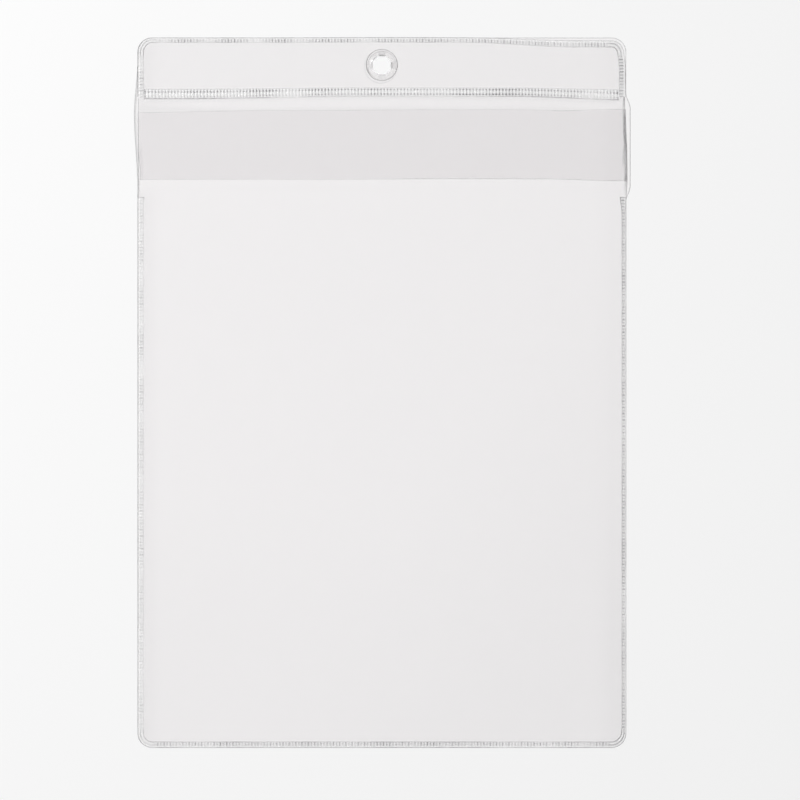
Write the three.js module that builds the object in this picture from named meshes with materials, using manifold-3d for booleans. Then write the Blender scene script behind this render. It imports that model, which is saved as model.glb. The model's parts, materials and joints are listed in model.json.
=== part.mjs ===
// Clear vinyl label protector, a flat hang-up pouch that lies on its back.
// Millimetres. X runs to the right, Y towards the hanging end and Z up out of the front.
// The origin is under the middle of the pouch, level with the back of its eyelet.

import * as THREE from "three";
import { mergeVertices } from "three/addons/utils/BufferGeometryUtils.js";
import Module from "manifold-3d";

// The cut sheets
const pouchWidth = 236;
const pouchLength = 343;
const cornerRadius = 7;
const filmThickness = 0.4;
const labelSlot = 0.5; // room for a label between the back sheet and the front sheets

// The welds, where the films are melted together
const weldWidth = 3;
const rimWidth = 0.8; // plain outer edge of a weld, outside its raised band
const rimHeight = 0.5;
const crossWeldWidth = 4.3;
const crossLipWidth = 0.8; // plain lower edge of the cross weld, where the flap hangs
const headerLength = 28.7; // from the top edge to the lower edge of the cross weld

// The rain flap and the pocket's mouth
const flapLength = 40; // below the cross weld
const flapSideInset = 0.3; // how far the flap's sides stay inside the pouch's sides
const flapGap = 0.3; // between the flap and what it lies on
const mouthFromTop = 34.9;
const pocketWeldFromTop = 76.7; // where the pocket's side welds begin
const foldGap = 0.3; // between the lip's rounded fold and the fixed pieces below it

// The sides bow outwards where nothing welds them
const bowDepth = 1.6;
const bowTopFromTop = 27;
const bowPeakFromTop = 38;
const bowEndFromTop = 79;

// The eyelet and its washer
const eyeletFromTop = 13.5;
const boreDiameter = 8;
const mouthDiameter = 11;
const barrelDiameter = 9.8;
const flangeDiameter = 15.4;
const flangeHeight = 1.3;
const flangeEdge = 0.45; // radius of the flange's rounded edge
const backLipDiameter = 13.8;
const backLipThickness = 0.7;
const backLipEdge = 0.25; // chamfer of the back lip's edge
const throatDepth = 2.2; // of the funnel that leads into the bore
const barrelClearance = 0.2; // round the barrel, in both header sheets
const washerDiameter = 16.2;
const washerThickness = 0.6;
const washerClearance = 0.9; // round the barrel, so the washer lies a little off centre
const washerShift = 0.5; // to the left, and down

// How finely round shapes are cut
const cornerSegments = 8;
const foldSegments = 6;
const edgeSegments = 3;
const eyeletSegments = 40;

// Places that follow from the sizes
const right = pouchWidth / 2;
const top = pouchLength / 2;
const bottom = -top;
const innerRadius = cornerRadius - weldWidth;
const crossWeldTop = top - headerLength + crossWeldWidth;
const crossWeldBottom = top - headerLength;
const flapAxisY = crossWeldBottom + crossLipWidth / 2;
const flapEnd = crossWeldBottom - flapLength;
const mouthY = top - mouthFromTop;
const lipAxisY = top - pocketWeldFromTop;
const pocketWeldTop = lipAxisY - filmThickness / 2 - foldGap;
const eyeletY = top - eyeletFromTop;

// Levels, from the back of the eyelet up
const washerLevel = backLipThickness;
const backLevel = washerLevel + washerThickness;
const slotLevel = backLevel + filmThickness;
const frontLevel = slotLevel + labelSlot;
const frontTop = frontLevel + filmThickness;
const flapLevel = frontTop + flapGap;
const flangeTop = frontTop + flangeHeight;
const weldHeight = frontTop - slotLevel;

// Materials
const clearFilm = new THREE.MeshStandardMaterial({
  color: 0xeef0f0,
  roughness: 0.12,
  metalness: 0,
  transparent: true,
  opacity: 0.35,
});
const weldedFilm = new THREE.MeshStandardMaterial({
  color: 0xd9dcdd,
  roughness: 0.3,
  metalness: 0,
  transparent: true,
  opacity: 0.6,
});
const clearMoulding = new THREE.MeshStandardMaterial({
  color: 0xf0f2f2,
  roughness: 0.08,
  metalness: 0,
  transparent: true,
  opacity: 0.5,
});

// Solids are joined and cut with manifold-3d
const wasm = await Module();
wasm.setup();

function toSolid(geometry) {
  const bare = geometry.clone();
  bare.deleteAttribute("normal");
  bare.deleteAttribute("uv");
  const merged = mergeVertices(bare, 1e-5);
  const mesh = new wasm.Mesh({
    numProp: 3,
    vertProperties: new Float32Array(merged.attributes.position.array),
    triVerts: new Uint32Array(merged.index.array),
  });
  return new wasm.Manifold(mesh);
}

function toGeometry(solid) {
  const mesh = solid.getMesh();
  const geometry = new THREE.BufferGeometry();
  geometry.setAttribute("position", new THREE.BufferAttribute(mesh.vertProperties, 3));
  geometry.setIndex(new THREE.BufferAttribute(mesh.triVerts, 1));
  geometry.computeVertexNormals();
  return geometry;
}

// A plan outline raised from one level to a height above it
function plate(outline, level, height) {
  const settings = { depth: height, bevelEnabled: false, curveSegments: cornerSegments };
  const geometry = new THREE.ExtrudeGeometry(outline, settings);
  geometry.translate(0, 0, level);
  return geometry;
}

// A side outline, drawn with Y across and Z up, drawn out along X about the middle
function drawnAcross(outline, width) {
  const settings = { depth: width, bevelEnabled: false, curveSegments: foldSegments };
  const geometry = new THREE.ExtrudeGeometry(outline, settings);
  const yAxis = new THREE.Vector3(0, 1, 0);
  const zAxis = new THREE.Vector3(0, 0, 1);
  const xAxis = new THREE.Vector3(1, 0, 0);
  geometry.applyMatrix4(new THREE.Matrix4().makeBasis(yAxis, zAxis, xAxis));
  geometry.translate(-width / 2, 0, 0);
  return geometry;
}

function named(name, geometry, material) {
  const mesh = new THREE.Mesh(geometry, material);
  mesh.name = name;
  return mesh;
}

// Outlines seen from the front

function rectangle(left, low, wide, high) {
  const outline = new THREE.Shape();
  outline.moveTo(left, low);
  outline.lineTo(left + wide, low);
  outline.lineTo(left + wide, high);
  outline.lineTo(left, high);
  outline.closePath();
  return outline;
}

// One bowed side: side is 1 on the right, where it is drawn upwards, and -1 on the left, downwards
function bowedSide(outline, side) {
  const x = side * right;
  const peakX = side * (right + bowDepth);
  const topY = top - bowTopFromTop;
  const peakY = top - bowPeakFromTop;
  const endY = top - bowEndFromTop;
  const upper = (topY - peakY) / 2;
  const lower = (peakY - endY) / 2;
  if (side > 0) {
    outline.lineTo(x, endY);
    outline.bezierCurveTo(x, endY + lower, peakX, peakY - lower, peakX, peakY);
    outline.bezierCurveTo(peakX, peakY + upper, x, topY - upper, x, topY);
  } else {
    outline.lineTo(x, topY);
    outline.bezierCurveTo(x, topY - upper, peakX, peakY + upper, peakX, peakY);
    outline.bezierCurveTo(peakX, peakY - lower, x, endY + lower, x, endY);
  }
}

function pouchOutline() {
  const r = cornerRadius;
  const outline = new THREE.Shape();
  outline.moveTo(-right + r, bottom);
  outline.lineTo(right - r, bottom);
  outline.absarc(right - r, bottom + r, r, -Math.PI / 2, 0, false);
  bowedSide(outline, 1);
  outline.lineTo(right, top - r);
  outline.absarc(right - r, top - r, r, 0, Math.PI / 2, false);
  outline.lineTo(-right + r, top);
  outline.absarc(-right + r, top - r, r, Math.PI / 2, Math.PI, false);
  bowedSide(outline, -1);
  outline.lineTo(-right, bottom + r);
  outline.absarc(-right + r, bottom + r, r, Math.PI, Math.PI * 1.5, false);
  return outline;
}

function barrelHole() {
  const hole = new THREE.Path();
  hole.absarc(0, eyeletY, barrelDiameter / 2 + barrelClearance, 0, Math.PI * 2, true);
  return hole;
}

// A weld that runs round both corners at one end: end is 1 at the top and -1 at the bottom
function endWeldOutline(end, outerInset) {
  const side = end * right;
  const edge = end * top;
  const centreX = end * (right - cornerRadius);
  const centreY = end * (top - cornerRadius);
  const outer = cornerRadius - outerInset;
  const start = end > 0 ? 0 : Math.PI;
  const middle = start + Math.PI / 2;
  const finish = start + Math.PI;
  const outline = new THREE.Shape();
  outline.moveTo(side - end * outerInset, centreY);
  outline.absarc(centreX, centreY, outer, start, middle, false);
  outline.lineTo(-centreX, edge - end * outerInset);
  outline.absarc(-centreX, centreY, outer, middle, finish, false);
  outline.lineTo(-side + end * weldWidth, centreY);
  outline.absarc(-centreX, centreY, innerRadius, finish, middle, true);
  outline.lineTo(centreX, edge - end * weldWidth);
  outline.absarc(centreX, centreY, innerRadius, middle, start, true);
  outline.closePath();
  return outline;
}

// Welds: a low plain rim outside, and a raised band that meets the front sheet

function steppedWeld(rimOutline, bandOutline) {
  const rim = toSolid(plate(rimOutline, slotLevel, rimHeight));
  const band = toSolid(plate(bandOutline, slotLevel, weldHeight));
  return toGeometry(rim.add(band));
}

function endWeld(end) {
  return steppedWeld(endWeldOutline(end, 0), endWeldOutline(end, rimWidth));
}

function sideWeld(side, low, high) {
  const bandWidth = weldWidth - rimWidth;
  const inner = side * (right - weldWidth);
  const rimLeft = side > 0 ? inner : -right;
  const bandLeft = side > 0 ? inner : inner - bandWidth;
  return steppedWeld(rectangle(rimLeft, low, weldWidth, high), rectangle(bandLeft, low, bandWidth, high));
}

function crossWeld() {
  const left = -right + weldWidth;
  const width = pouchWidth - 2 * weldWidth;
  const lip = rectangle(left, crossWeldBottom, width, crossWeldTop);
  const band = rectangle(left, crossWeldBottom + crossLipWidth, width, crossWeldTop);
  return steppedWeld(lip, band);
}

// Sheets

function backSheet() {
  const outline = pouchOutline();
  outline.holes.push(barrelHole());
  return plate(outline, backLevel, filmThickness);
}

// A front sheet fills the space inside its welds, with rounded corners at one end
function frontSheetOutline(end, farY) {
  const side = end * (right - weldWidth);
  const centreX = end * (right - cornerRadius);
  const centreY = end * (top - cornerRadius);
  const start = end > 0 ? 0 : Math.PI;
  const middle = start + Math.PI / 2;
  const finish = start + Math.PI;
  const outline = new THREE.Shape();
  outline.moveTo(side, farY);
  outline.lineTo(side, centreY);
  outline.absarc(centreX, centreY, innerRadius, start, middle, false);
  outline.lineTo(-centreX, end * (top - weldWidth));
  outline.absarc(-centreX, centreY, innerRadius, middle, finish, false);
  outline.lineTo(-side, farY);
  outline.closePath();
  return outline;
}

function headerFrontSheet() {
  const outline = frontSheetOutline(1, crossWeldTop);
  outline.holes.push(barrelHole());
  return plate(outline, frontLevel, filmThickness);
}

function pocketFrontSheet() {
  return plate(frontSheetOutline(-1, pocketWeldTop), frontLevel, filmThickness);
}

// A film seen from the side, with a round fold about the axis that it turns on
function foldedEdgeOutline(axisY, level, endY) {
  const r = filmThickness / 2;
  const middle = level + r;
  const towardsEnd = Math.sign(endY - axisY);
  const outline = new THREE.Shape();
  outline.moveTo(endY, level);
  outline.lineTo(endY, level + filmThickness);
  outline.lineTo(axisY, level + filmThickness);
  outline.absarc(axisY, middle, r, Math.PI / 2, -Math.PI / 2, towardsEnd < 0);
  outline.closePath();
  return outline;
}

function rainFlap() {
  const width = pouchWidth - 2 * flapSideInset;
  return drawnAcross(foldedEdgeOutline(flapAxisY, flapLevel, flapEnd), width);
}

function pocketLip() {
  const width = pouchWidth + 4 * bowDepth;
  const film = toSolid(drawnAcross(foldedEdgeOutline(lipAxisY, frontLevel, mouthY), width));
  const inside = toSolid(plate(pouchOutline(), frontLevel - filmThickness, 3 * filmThickness));
  return toGeometry(film.intersect(inside));
}

// Eyelet, turned about the hang hole

function turned(points) {
  const geometry = new THREE.LatheGeometry(points, eyeletSegments);
  geometry.rotateX(Math.PI / 2);
  return geometry;
}

function eyelet() {
  const bore = boreDiameter / 2;
  const mouth = mouthDiameter / 2;
  const barrel = barrelDiameter / 2;
  const flange = flangeDiameter / 2;
  const backLip = backLipDiameter / 2;
  const section = new THREE.Path();
  section.moveTo(bore, 0);
  section.lineTo(backLip - backLipEdge, 0);
  section.lineTo(backLip, backLipEdge);
  section.lineTo(backLip, backLipThickness);
  section.lineTo(barrel, backLipThickness);
  section.lineTo(barrel, frontTop);
  section.lineTo(flange, frontTop);
  section.lineTo(flange, flangeTop - flangeEdge);
  section.absarc(flange - flangeEdge, flangeTop - flangeEdge, flangeEdge, 0, Math.PI / 2, false);
  section.lineTo(mouth + flangeEdge, flangeTop);
  section.absarc(mouth + flangeEdge, flangeTop - flangeEdge, flangeEdge, Math.PI / 2, Math.PI, false);
  section.quadraticCurveTo(bore, flangeTop - throatDepth / 2, bore, flangeTop - throatDepth);
  section.lineTo(bore, 0);
  const geometry = turned(section.getPoints(edgeSegments));
  geometry.translate(0, eyeletY, 0);
  return geometry;
}

function eyeletWasher() {
  const inner = barrelDiameter / 2 + washerClearance;
  const outer = washerDiameter / 2;
  const section = new THREE.Path();
  section.moveTo(inner, washerLevel);
  section.lineTo(outer, washerLevel);
  section.lineTo(outer, backLevel);
  section.lineTo(inner, backLevel);
  section.lineTo(inner, washerLevel);
  const geometry = turned(section.getPoints(1));
  geometry.translate(-washerShift, eyeletY - washerShift, 0);
  return geometry;
}

// The pouch: everything that is welded or fastened together
const pouch = new THREE.Group();
pouch.add(named("back_sheet", backSheet(), clearFilm));
pouch.add(named("header_front_sheet", headerFrontSheet(), clearFilm));
pouch.add(named("pocket_front_sheet", pocketFrontSheet(), clearFilm));
pouch.add(named("header_top_weld", endWeld(1), weldedFilm));
pouch.add(named("header_left_weld", sideWeld(-1, crossWeldTop, top - cornerRadius), weldedFilm));
pouch.add(named("header_right_weld", sideWeld(1, crossWeldTop, top - cornerRadius), weldedFilm));
pouch.add(named("header_cross_weld", crossWeld(), weldedFilm));
pouch.add(named("pocket_left_weld", sideWeld(-1, bottom + cornerRadius, pocketWeldTop), weldedFilm));
pouch.add(named("pocket_right_weld", sideWeld(1, bottom + cornerRadius, pocketWeldTop), weldedFilm));
pouch.add(named("pocket_bottom_weld", endWeld(-1), weldedFilm));
pouch.add(named("eyelet", eyelet(), clearMoulding));
pouch.add(named("eyelet_washer", eyeletWasher(), clearMoulding));

// The two free films that move: the flap lifts about its fold, and the lip opens about its own
const flap = new THREE.Group();
flap.add(named("rain_flap", rainFlap(), clearFilm));

const lip = new THREE.Group();
lip.add(named("pocket_lip", pocketLip(), clearFilm));

const labelProtector = new THREE.Group();
labelProtector.add(pouch, flap, lip);

export default labelProtector;
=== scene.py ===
import json
import math

import bmesh
import bpy
from mathutils import Matrix, Vector, noise
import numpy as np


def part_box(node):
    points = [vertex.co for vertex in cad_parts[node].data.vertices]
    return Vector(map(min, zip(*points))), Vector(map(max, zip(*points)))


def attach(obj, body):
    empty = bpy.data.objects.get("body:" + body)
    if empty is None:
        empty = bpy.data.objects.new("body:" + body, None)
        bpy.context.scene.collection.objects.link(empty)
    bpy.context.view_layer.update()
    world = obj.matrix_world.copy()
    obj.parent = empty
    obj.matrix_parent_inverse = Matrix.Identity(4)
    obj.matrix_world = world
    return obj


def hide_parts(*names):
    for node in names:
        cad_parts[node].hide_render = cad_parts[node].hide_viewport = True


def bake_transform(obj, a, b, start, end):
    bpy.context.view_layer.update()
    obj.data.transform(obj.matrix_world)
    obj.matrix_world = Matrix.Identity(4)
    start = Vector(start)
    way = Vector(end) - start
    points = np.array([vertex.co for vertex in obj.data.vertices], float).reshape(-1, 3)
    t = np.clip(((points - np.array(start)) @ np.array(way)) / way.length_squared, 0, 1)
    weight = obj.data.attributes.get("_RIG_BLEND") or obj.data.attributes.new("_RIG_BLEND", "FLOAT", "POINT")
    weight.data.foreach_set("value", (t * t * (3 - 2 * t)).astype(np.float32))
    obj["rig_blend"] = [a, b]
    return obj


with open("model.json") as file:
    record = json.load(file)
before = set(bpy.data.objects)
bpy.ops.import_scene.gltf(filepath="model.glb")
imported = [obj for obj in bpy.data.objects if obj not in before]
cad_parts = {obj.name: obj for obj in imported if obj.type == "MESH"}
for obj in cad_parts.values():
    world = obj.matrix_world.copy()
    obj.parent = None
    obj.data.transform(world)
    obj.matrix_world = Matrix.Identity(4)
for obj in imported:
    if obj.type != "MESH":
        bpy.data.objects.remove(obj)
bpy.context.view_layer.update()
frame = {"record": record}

# Clear vinyl label protector, lying on its back on a white table.
# Metres, X to the right, Y towards the hanging end, Z up out of the front.

mm = 0.001


# Places taken from the solids

backLow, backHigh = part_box("back_sheet")
headerLow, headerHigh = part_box("header_front_sheet")
flapLow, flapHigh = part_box("rain_flap")
pocketLow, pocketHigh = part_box("pocket_front_sheet")
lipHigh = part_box("pocket_lip")[1]
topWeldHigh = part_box("header_top_weld")[1]
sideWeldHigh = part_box("pocket_right_weld")[1]
crossLow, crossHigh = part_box("header_cross_weld")
eyeletLow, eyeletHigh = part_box("eyelet")
washerLow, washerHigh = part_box("eyelet_washer")

halfWidth = topWeldHigh.x
topY = backHigh.y
bottomY = backLow.y
film = backHigh.z - backLow.z
eyeletCentre = (eyeletLow + eyeletHigh) / 2
washerCentre = (washerLow + washerHigh) / 2
jointPlace = {joint["name"]: Vector(joint["pos_m"]) for joint in frame["record"]["behaviour"]["joints"]}
flapAxis = jointPlace["flap_lift"]
lipAxis = jointPlace["lip_open"]
barrelRadius = 4.9 * mm     # of the eyelet, where it passes through the films
nearly = 0.001 * mm         # what lies closer than this is in one place


# How the pouch lies: the eyelet's back lifts the film round it, and the rest settles on the table

lying = {
    "tableGap": 0.15 * mm,      # between the back sheet and the table, away from the eyelet
    "eyeletReach": 52 * mm,     # where the film is down on the table again
    "eyeletFlat": 9 * mm,       # clamped flat inside this radius
    "waveHeight": 0.3 * mm,
    "waveShare": (0.5, 0.9),    # of that height: on average, and how much it sways
    "wave": (95 * mm, 3.1),     # every wave's length, and its own place in the noise
    # how far each unwelded side bows outwards, and where from the top that starts, peaks and ends
    "leftBow": (1.75 * mm, 10 * mm, 37 * mm, 76 * mm),
    "rightBow": (2.1 * mm, 27 * mm, 34 * mm, 79 * mm),
    "bowPower": 6,              # the higher, the less the film inside the edge bows with it
    "bowCuts": (9, 1.75 * mm),  # finer cells at the bow's start and end: how many, how far apart
    "pocketStand": 0.55 * mm,   # how far the front ply stands off the back one in the middle
    "standShare": (0.55, 0.7),
    "standWave": (120 * mm, 8.4),
    "standPower": 4,
    "standReach": 70 * mm,      # from the bottom to where it stands off fully
    "cornerRadius": 7 * mm,
    "weldWidth": 3 * mm,
}


def smooth(value):
    value = min(max(value, 0.0), 1.0)
    return value * value * (3 - 2 * value)


def bell(away, width):
    return math.exp(-(away / width) ** 2)


def sway(wave, x, y=0.0):
    length, seed = wave
    return noise.noise(Vector((x / length, y / length, seed)))


def lie(x, y):
    away = math.hypot(x - eyeletCentre.x, y - eyeletCentre.y)
    reach = lying["eyeletReach"] - lying["eyeletFlat"]
    settled = smooth((away - lying["eyeletFlat"]) / reach)
    average, swayed = lying["waveShare"]
    height = lying["waveHeight"] * (average + swayed * sway(lying["wave"], x, y))
    return settled * (lying["tableGap"] - backLow.z + max(height, 0.0))


def bow(x, y):
    start, peak, end = lying["rightBow" if x > 0 else "leftBow"][1:]
    fromTop = topY - y
    rise = smooth((fromTop - start) / (peak - start))
    # the right side stays out nearly as far as the pocket's welds
    fall = smooth((end - fromTop) / (peak - start if x > 0 else end - peak))
    return rise * fall


def bowOut(point, part=1.0):
    share = abs(point.x) / halfWidth
    reach = lying["rightBow"][0] if point.x > 0 else -lying["leftBow"][0]
    point.x += part * reach * bow(point.x, point.y) * share ** lying["bowPower"]


def stand(x, y):
    # the pocket's front ply stands off a little between its welds and at its mouth
    across = 1 - (abs(x) / halfWidth) ** lying["standPower"]
    along = smooth((y - bottomY) / lying["standReach"])
    average, swayed = lying["standShare"]
    share = average + swayed * sway(lying["standWave"], x, y)
    return lying["pocketStand"] * max(across, 0.0) * along * share


# Where the welds lie: the header's ran aslant towards its upper right, and the cross weld is an arc

drift = {
    "topNarrow": 0.17,          # how much narrower than the weld's width, as a share
    "slantStart": 40 * mm,
    "slantReach": 55 * mm,
    "slantTop": 1.4 * mm,       # how far in from the cut edge, along the top
    "slantSide": 0.25 * mm,     # and down the side
    "slantTurn": (3 * mm, 12 * mm),     # where from the top that changes, and over what length
    "slantWide": 0.1,
    "pocketNarrow": 0.27,
    "pocketEnds": (12 * mm, 8 * mm),    # the lengths that it takes at the bottom and at the top
    "arcMiddle": 0.43 * mm,     # how far up the cross weld runs in the middle
    "arcEnds": (-0.75 * mm, -1.35 * mm),    # and down at its left and right ends
    "arcLeft": (12 * mm, 85 * mm),      # where it starts to drop, and over what length
    "arcRight": (62 * mm, 60 * mm),
    "arcUpper": 0.4,            # how much of that its upper edge takes part in
    "arcUpperWidth": 1.5 * mm,
}


def headerDrift(x, y):
    # how far in the weld's outer side is, and how wide the weld is, for a place on the cut edge
    aslant = smooth((x - drift["slantStart"]) / drift["slantReach"])
    start, reach = drift["slantTurn"]
    down = smooth((topY - start - y) / reach) if x > 0 else 0
    offset = aslant * (drift["slantTop"] + (drift["slantSide"] - drift["slantTop"]) * down)
    narrow = drift["topNarrow"] * smooth((x + halfWidth) / lying["cornerRadius"]) * (1 - aslant)
    return offset, 1 - narrow + drift["slantWide"] * aslant


def pocketDrift(x, y):
    if x < 0:
        return 0, 1
    low, high = drift["pocketEnds"]
    along = smooth((y - bottomY) / low) * smooth((sideWeldHigh.y - y) / high)
    return 0, 1 - drift["pocketNarrow"] * along


def crossArc(x):
    start, reach = drift["arcRight"] if x > 0 else drift["arcLeft"]
    drop = drift["arcEnds"][x > 0] - drift["arcMiddle"]
    return drift["arcMiddle"] + drop * smooth((abs(x) - start) / reach)


def followWeld(point, end, driftOf):
    # takes a front sheet's edge to the weld's inner side: end is 1 for the header, -1 for the pocket
    radius = lying["cornerRadius"]
    corner = Vector((halfWidth - radius, topY - radius if end > 0 else bottomY + radius, 0))
    out = Vector((max(abs(point.x) - corner.x, 0), max(end * (point.y - corner.y), 0), 0))
    if out.length < nearly:
        return
    near = smooth(out.length / (radius - lying["weldWidth"]))
    out.normalize()
    out.x *= math.copysign(1, point.x)
    out.y *= end
    edgeX = min(max(point.x, -corner.x), corner.x) + out.x * radius
    edgeY = end * min(end * point.y, end * corner.y) + out.y * radius
    offset, share = driftOf(edgeX, edgeY)
    point -= out * (offset + (share - 1) * lying["weldWidth"]) * near


# Mesh helpers

def finishPiece(mesh, name, body, material, replaced, sharpAngle=50):
    bmesh.ops.remove_doubles(mesh, verts=mesh.verts, dist=2 * nearly)
    bmesh.ops.recalc_face_normals(mesh, faces=mesh.faces)
    data = bpy.data.meshes.new(name)
    mesh.to_mesh(data)
    mesh.free()
    for polygon in data.polygons:
        polygon.use_smooth = True
    data.set_sharp_from_angle(angle=math.radians(sharpAngle))
    piece = bpy.data.objects.new(name, data)
    bpy.context.collection.objects.link(piece)
    piece.data.materials.append(material)
    if body is not None:
        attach(piece, body)
    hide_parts(*replaced)
    return piece


def plainGrid(left, right, low, high, cell):
    mesh = bmesh.new()
    across = max(2, round((right - left) / cell))
    along = max(2, round((high - low) / cell))
    bmesh.ops.create_grid(mesh, x_segments=across, y_segments=along, size=0.5)
    bmesh.ops.scale(mesh, vec=(right - left, high - low, 1), verts=mesh.verts)
    bmesh.ops.translate(mesh, vec=((left + right) / 2, (low + high) / 2, 0), verts=mesh.verts)
    return mesh


def cutLine(mesh, place, normal, drop=False, geom=None):
    geom = geom or mesh.verts[:] + mesh.edges[:] + mesh.faces[:]
    bmesh.ops.bisect_plane(mesh, geom=geom, dist=nearly, plane_co=place, plane_no=normal, clear_outer=drop)


def roundCorner(mesh, centre, radius, startAngle, steps=7):
    for step in range(steps):
        angle = startAngle + math.pi / 2 * (step + 0.5) / steps
        normal = Vector((math.cos(angle), math.sin(angle), 0))
        cutLine(mesh, Vector(centre) + normal * radius, normal, drop=True)


def openHole(mesh, centre, radius, window):
    inside = {face for face in mesh.faces
              if max(abs(face.calc_center_median().x - centre.x),
                     abs(face.calc_center_median().y - centre.y)) < window}
    rim = [edge for edge in mesh.edges if len(inside.intersection(edge.link_faces)) == 1]
    bmesh.ops.delete(mesh, geom=list(inside), context="FACES")
    halves = bmesh.ops.subdivide_edges(mesh, edges=rim, cuts=1)["geom_split"]
    rim = [item for item in halves if isinstance(item, bmesh.types.BMEdge) and item.is_boundary]
    # the circle is bridged from above, where the two loops can't cross, and then let down
    above = window
    turn = Matrix.Translation((centre.x, centre.y, above))
    made = bmesh.ops.create_circle(mesh, cap_ends=False, radius=radius, segments=len(rim), matrix=turn)
    circle = list({edge for vert in made["verts"] for edge in vert.link_edges})
    bmesh.ops.bridge_loops(mesh, edges=rim + circle)
    bmesh.ops.translate(mesh, vec=(0, 0, -above), verts=made["verts"])


def edgeAndThicken(mesh, low, edgeWidth, greyAt):
    # an inner line beside each cut edge, the film's thickness, then the cut edge's painted shade
    bmesh.ops.inset_region(mesh, faces=mesh.faces, thickness=edgeWidth, use_boundary=True,
                           use_even_offset=True)
    made = bmesh.ops.extrude_face_region(mesh, geom=mesh.faces[:])
    raised = [item for item in made["geom"] if isinstance(item, bmesh.types.BMVert)]
    bmesh.ops.translate(mesh, vec=(0, 0, film), verts=raised)
    bmesh.ops.translate(mesh, vec=(0, 0, low), verts=mesh.verts)
    bmesh.ops.recalc_face_normals(mesh, faces=mesh.faces)
    mark = mesh.verts.layers.float.new("toneAndPaintedShade")
    for face in mesh.faces:
        if abs(face.normal.z) < 0.5:    # upright, so a cut edge
            for vert in face.verts:
                vert[mark] = greyAt(vert.co.x, vert.co.y)
    return mark


# Materials

def linear(hexColour):
    parts = [int(hexColour[i:i + 2], 16) / 255 for i in (1, 3, 5)]
    parts = [p / 12.92 if p <= 0.04045 else ((p + 0.055) / 1.055) ** 2.4 for p in parts]
    return (*parts, 1.0)


def addNode(tree, kind, settings=None, values=None, links=None):
    node = tree.nodes.new(kind)
    for name, value in (settings or {}).items():
        setattr(node, name, value)
    for name, value in (values or {}).items():
        node.inputs[name].default_value = value
    for name, source in (links or {}).items():
        tree.links.new(source, node.inputs[name])
    return node


def newMaterial(name):
    material = bpy.data.materials.new(name)
    material.use_nodes = True
    material.node_tree.nodes.clear()
    return material, material.node_tree


def mirrorShare(tree, straightOn):
    # more at a slant, and the same on the way in and the way out of a thin film
    weight = addNode(tree, "ShaderNodeLayerWeight", values={"Blend": 0.5})
    power = addNode(tree, "ShaderNodeMath", {"operation": "POWER"}, {1: 5.0}, {0: weight.outputs["Facing"]})
    return addNode(tree, "ShaderNodeMath", {"operation": "MULTIPLY_ADD", "use_clamp": True},
                   {1: 1 - straightOn, 2: straightOn}, {0: power.outputs[0]})


def grain(tree, size, detail=2.0):
    # noise over the piece's own coordinates, with lumps of the given size
    place = addNode(tree, "ShaderNodeTexCoord")
    return addNode(tree, "ShaderNodeTexNoise", None, {"Scale": 1 / size, "Detail": detail},
                   {"Vector": place.outputs["Object"]})


def spread(tree, source, low, high):
    # the noise's middle range laid over low to high
    return addNode(tree, "ShaderNodeMapRange", None,
                   {"From Min": 0.3, "From Max": 0.7, "To Min": low, "To Max": high}, {"Value": source})


def markedTint(tree, markName, plain, marked):
    # the mark that the mesh holds, and one colour that goes over to the other by it
    mark = addNode(tree, "ShaderNodeAttribute", {"attribute_name": markName})
    tint = addNode(tree, "ShaderNodeMix", {"data_type": "RGBA"}, {"A": plain, "B": marked},
                   {"Factor": mark.outputs["Fac"]})
    return mark.outputs["Fac"], tint.outputs["Result"]


def finishMaterial(tree, surface):
    # lamps and sky light what lies below, as the light that the faces turn back comes round again
    path = addNode(tree, "ShaderNodeLightPath")
    inward = addNode(tree, "ShaderNodeMath", {"operation": "MAXIMUM"},
                     links={0: path.outputs["Is Shadow Ray"], 1: path.outputs["Is Diffuse Ray"]})
    passing = addNode(tree, "ShaderNodeBsdfTransparent", None, {"Color": (1, 1, 1, 1)})
    lit = addNode(tree, "ShaderNodeMixShader",
                  links={0: inward.outputs[0], 1: surface.outputs[0], 2: passing.outputs[0]})
    addNode(tree, "ShaderNodeOutputMaterial", links={"Surface": lit.outputs[0]})


def vinylFilm():
    # Calendered clear PVC film, press-polished: it lets nearly all light through with a trace of
    # pink and mirrors about a twenty-fifth at each face. The grey at its cut edges and where it
    # bends is painted shade; the header and flap are a slightly less clear film.
    look = {
        "stackTint": "#fff9fb",     # seen through a stack of seven plies
        "stackFaces": 14,
        "edgeShadeTint": "#7d7f82",
        "shineTint": "#fffcfc",
        "roughness": (0.03, 0.09),  # polished, with duller handled patches
        "patchSize": 22 * mm,
        "patchDetail": 5.0,
        "rippleSize": 30 * mm,
        "rippleDepth": 0.02 * mm,
        "reflect": 0.042,
    }
    material, tree = newMaterial("calenderedClearVinyl")
    faceTint = [part ** (1 / look["stackFaces"]) for part in linear(look["stackTint"])]
    # painted shade: the film goes grey by its mark at cut edges and where it bends
    tint = markedTint(tree, "toneAndPaintedShade", faceTint, linear(look["edgeShadeTint"]))[1]
    through = addNode(tree, "ShaderNodeBsdfTransparent", links={"Color": tint})
    dull = spread(tree, grain(tree, look["patchSize"], look["patchDetail"]).outputs[0], *look["roughness"])
    ripple = addNode(tree, "ShaderNodeBump", None, {"Strength": 1.0, "Distance": look["rippleDepth"]},
                     {"Height": grain(tree, look["rippleSize"]).outputs[0]})
    shine = addNode(tree, "ShaderNodeBsdfGlossy", None, {"Color": linear(look["shineTint"])},
                    {"Roughness": dull.outputs[0], "Normal": ripple.outputs[0]})
    share = mirrorShare(tree, look["reflect"])
    mixed = addNode(tree, "ShaderNodeMixShader",
                    links={0: share.outputs[0], 1: through.outputs[0], 2: shine.outputs[0]})
    finishMaterial(tree, mixed)
    return material


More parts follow.
